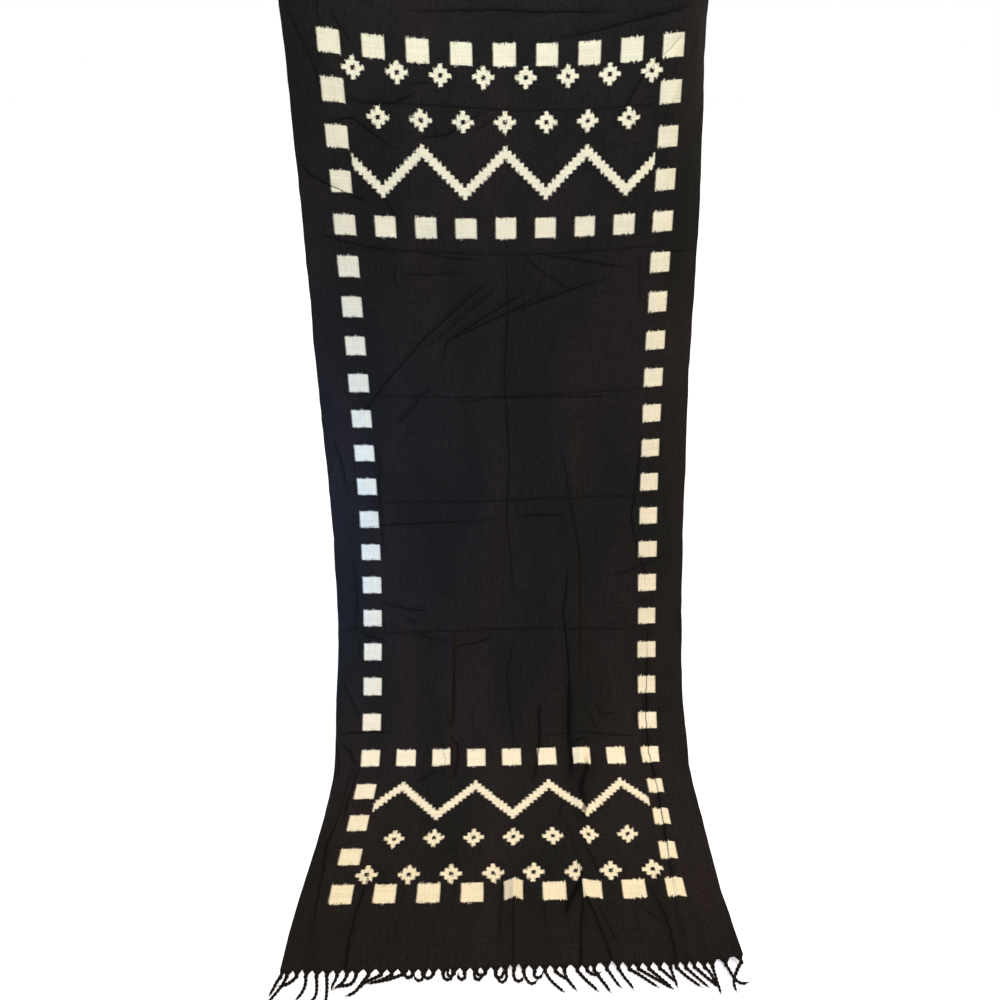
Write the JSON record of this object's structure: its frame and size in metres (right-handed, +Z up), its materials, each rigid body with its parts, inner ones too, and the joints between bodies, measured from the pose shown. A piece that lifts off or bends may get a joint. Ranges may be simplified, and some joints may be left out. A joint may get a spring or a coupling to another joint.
{
  "type": "dupatta",
  "caption": "Long cotton stole with fringed ends, held up by two corners, hanging and turning onto the floor, where its lower end lies flat with low folds.",
  "frame": {"origin": "midway between the two held corners of the cloth", "axes": "+X across the cloth to the right of someone facing its front, +Y away from them, +Z up; the floor is at z = -1.766 m"},
  "size_m": [0.9258, 1.1134, 1.7816],
  "materials": {
    "cloth": "plain-woven cotton, black with a resist-dyed cream pattern",
    "fringe": "twisted black cotton cords"
  },
  "bodies": {
    "root": {"cloth": "cloth", "fringe_held": "fringe", "fringe_hem": "fringe"}
  },
  "joints": []
}
